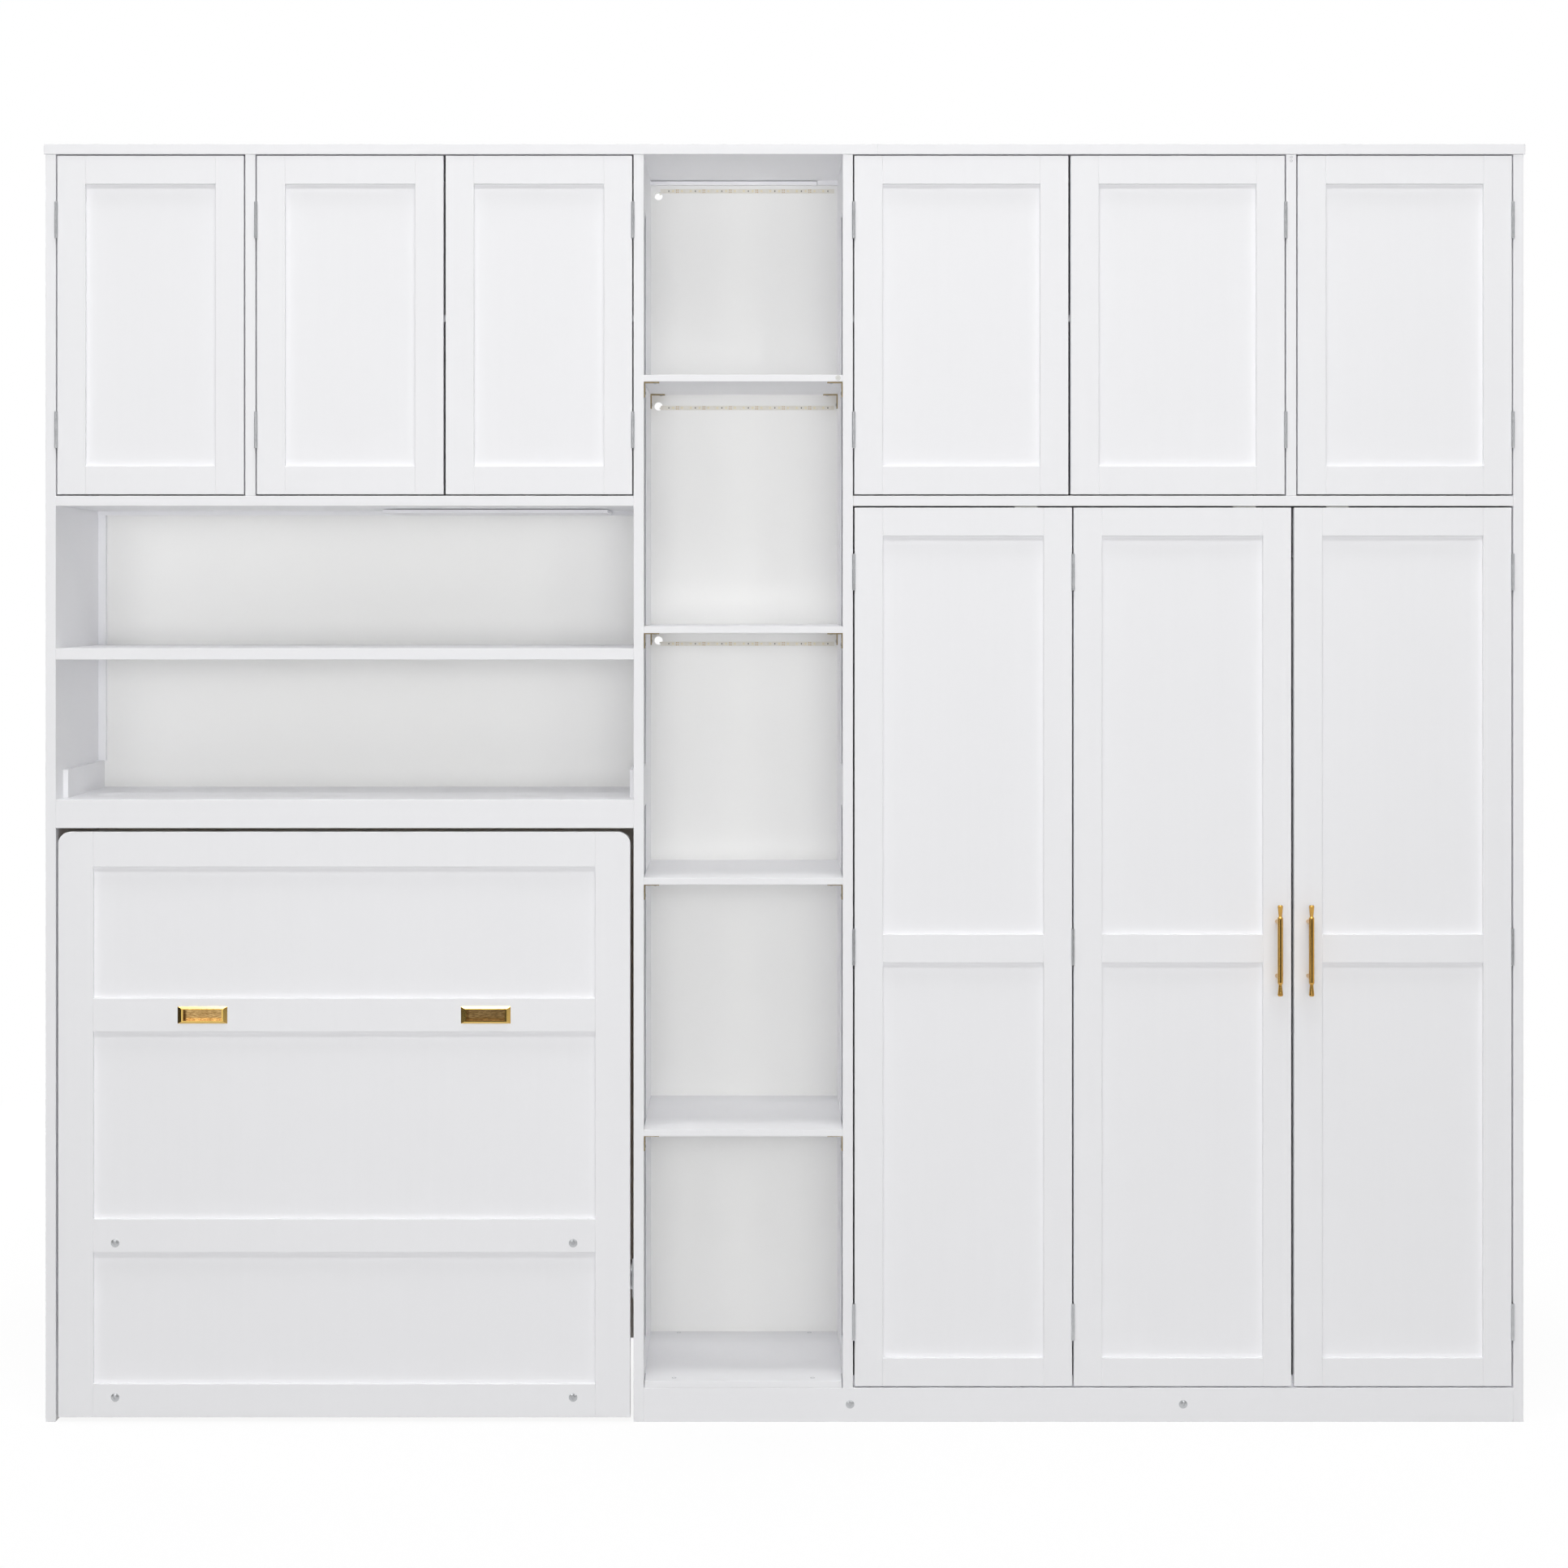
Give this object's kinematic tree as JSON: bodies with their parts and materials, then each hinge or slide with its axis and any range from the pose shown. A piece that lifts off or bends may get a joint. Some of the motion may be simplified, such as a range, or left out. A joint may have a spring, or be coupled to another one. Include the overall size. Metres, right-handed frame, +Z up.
{
  "type": "wall bed with wardrobe",
  "caption": "White wall unit with a fold-down bed under an open bay, a lit shelf column, a hinged and bi-fold wardrobe and framed cupboards along the top.",
  "frame": {"origin": "on the floor, under the middle of the overall footprint", "axes": "+X to the right seen from the front, front facing -Y, +Z up"},
  "size_m": [2.62, 0.4388, 2.26],
  "materials": {
    "white_board": "satin white paint on board",
    "back_board": "smooth white-faced board",
    "bed_timber": "planed softwood, clear satin",
    "hinge_steel": "bright zinc plate",
    "zinc_steel": "bright zinc plate",
    "brass": "polished and lacquered",
    "led_strip": "flexible white strip",
    "chrome_rail": "bright chrome tube",
    "nylon": "moulded nylon"
  },
  "bodies": {
    "carcass": {"bay_back": "back_board", "bay_battens": "white_board", "bay_fascia": "white_board", "bay_floor": "white_board", "bay_partition": "white_board", "bay_shelf": "white_board", "bed_pivots": "zinc_steel", "carcass_hinge_leaves": "hinge_steel", "column_back": "back_board", "column_floor": "white_board", "column_shelves": "white_board", "cupboard_dividers": "white_board", "cupboard_floors": "white_board", "cupboard_shelves": "white_board", "hanging_rail": "chrome_rail", "led_strips": "led_strip", "left_side_panel": "white_board", "left_top_board": "white_board", "magnetic_catches": "nylon", "plinth": "white_board", "plinth_bearers": "white_board", "plinth_bolts": "zinc_steel", "right_side_panel": "white_board", "right_top_board": "white_board", "shelf_brackets": "zinc_steel", "wall_rails": "back_board", "wardrobe_back": "back_board", "wardrobe_floor": "white_board", "wardrobe_partition": "white_board"},
    "bed": {"bed_front_frame": "white_board", "bed_front_panels": "white_board", "flush_pulls": "brass", "bed_bolts": "zinc_steel", "bed_base_frame": "bed_timber", "bed_slats": "bed_timber", "bed_pivot_bushes": "nylon"},
    "pullout": {"pullout_frame": "bed_timber", "pullout_slats": "bed_timber"},
    "left_leg": {"left_leg": "bed_timber"},
    "right_leg": {"right_leg": "bed_timber"},
    "cupboard_door_1": {"cupboard_door_1": "white_board", "cupboard_door_1_hinges": "hinge_steel"},
    "cupboard_door_2": {"cupboard_door_2": "white_board", "cupboard_door_2_hinges": "hinge_steel"},
    "cupboard_door_3": {"cupboard_door_3": "white_board", "cupboard_door_3_hinges": "hinge_steel"},
    "cupboard_door_4": {"cupboard_door_4": "white_board", "cupboard_door_4_hinges": "hinge_steel"},
    "cupboard_door_5": {"cupboard_door_5": "white_board", "cupboard_door_5_hinges": "hinge_steel"},
    "cupboard_door_6": {"cupboard_door_6": "white_board", "cupboard_door_6_hinges": "hinge_steel"},
    "wardrobe_door_1": {"wardrobe_door_1": "white_board", "wardrobe_door_1_hinges": "hinge_steel"},
    "wardrobe_door_2": {"wardrobe_door_2": "white_board", "wardrobe_door_2_hinges": "hinge_steel", "wardrobe_handle_2": "brass"},
    "wardrobe_door_3": {"wardrobe_door_3": "white_board", "wardrobe_door_3_hinges": "hinge_steel", "wardrobe_handle_3": "brass"}
  },
  "joints": [
    {"name": "bed_fold", "type": "hinge", "parent": "carcass", "child": "bed", "pos_m": [-1.289, -0.1286, 0.25], "axis": [1, 0, 0], "range_deg": [0, 90], "stiffness_Nm_per_rad": 60, "springref_deg": -9.74},
    {"name": "pullout_slide", "type": "slide", "parent": "bed", "child": "pullout", "axis": [0, 0, 1], "range_m": [0, 0.8805]},
    {"name": "left_leg_fold", "type": "hinge", "parent": "pullout", "child": "left_leg", "pos_m": [-1.21, -0.1046, 0.957], "axis": [0, 0, -1], "range_deg": [0, 90.1]},
    {"name": "right_leg_fold", "type": "hinge", "parent": "pullout", "child": "right_leg", "pos_m": [-0.348, -0.1046, 0.957], "axis": [0, 0, 1], "range_deg": [0, 90.1]},
    {"name": "cupboard_door_1_swing", "type": "hinge", "parent": "carcass", "child": "cupboard_door_1", "pos_m": [-1.28775, -0.18375, 1.6405], "axis": [0, 0, -1], "range_deg": [0, 110]},
    {"name": "cupboard_door_2_swing", "type": "hinge", "parent": "carcass", "child": "cupboard_door_2", "pos_m": [-0.93475, -0.18375, 1.6405], "axis": [0, 0, -1], "range_deg": [0, 110]},
    {"name": "cupboard_door_3_swing", "type": "hinge", "parent": "carcass", "child": "cupboard_door_3", "pos_m": [-0.26825, -0.18375, 1.6405], "axis": [0, 0, 1], "range_deg": [0, 110]},
    {"name": "cupboard_door_4_swing", "type": "hinge", "parent": "carcass", "child": "cupboard_door_4", "pos_m": [0.12225, -0.18375, 1.6405], "axis": [0, 0, -1], "range_deg": [0, 110]},
    {"name": "cupboard_door_5_swing", "type": "hinge", "parent": "carcass", "child": "cupboard_door_5", "pos_m": [0.88608, -0.18375, 1.6405], "axis": [0, 0, 1], "range_deg": [0, 110]},
    {"name": "cupboard_door_6_swing", "type": "hinge", "parent": "carcass", "child": "cupboard_door_6", "pos_m": [1.28775, -0.18375, 1.6405], "axis": [0, 0, 1], "range_deg": [0, 110]},
    {"name": "wardrobe_door_1_swing", "type": "hinge", "parent": "carcass", "child": "wardrobe_door_1", "pos_m": [0.1225, -0.18375, 0.063], "axis": [0, 0, -1], "range_deg": [0, 90]},
    {"name": "wardrobe_door_2_swing", "type": "hinge", "parent": "wardrobe_door_1", "child": "wardrobe_door_2", "pos_m": [0.51017, -0.18375, 0.063], "axis": [0, 0, -1], "range_deg": [0, 110]},
    {"name": "wardrobe_door_3_swing", "type": "hinge", "parent": "carcass", "child": "wardrobe_door_3", "pos_m": [1.2875, -0.18375, 0.063], "axis": [0, 0, 1], "range_deg": [0, 110]}
  ],
  "couplings": [
    {"joint": "pullout_slide", "follows": "bed_fold", "m_per_rad": 0.56022},
    {"joint": "left_leg_fold", "follows": "bed_fold", "ratio": 1},
    {"joint": "right_leg_fold", "follows": "bed_fold", "ratio": 1}
  ]
}
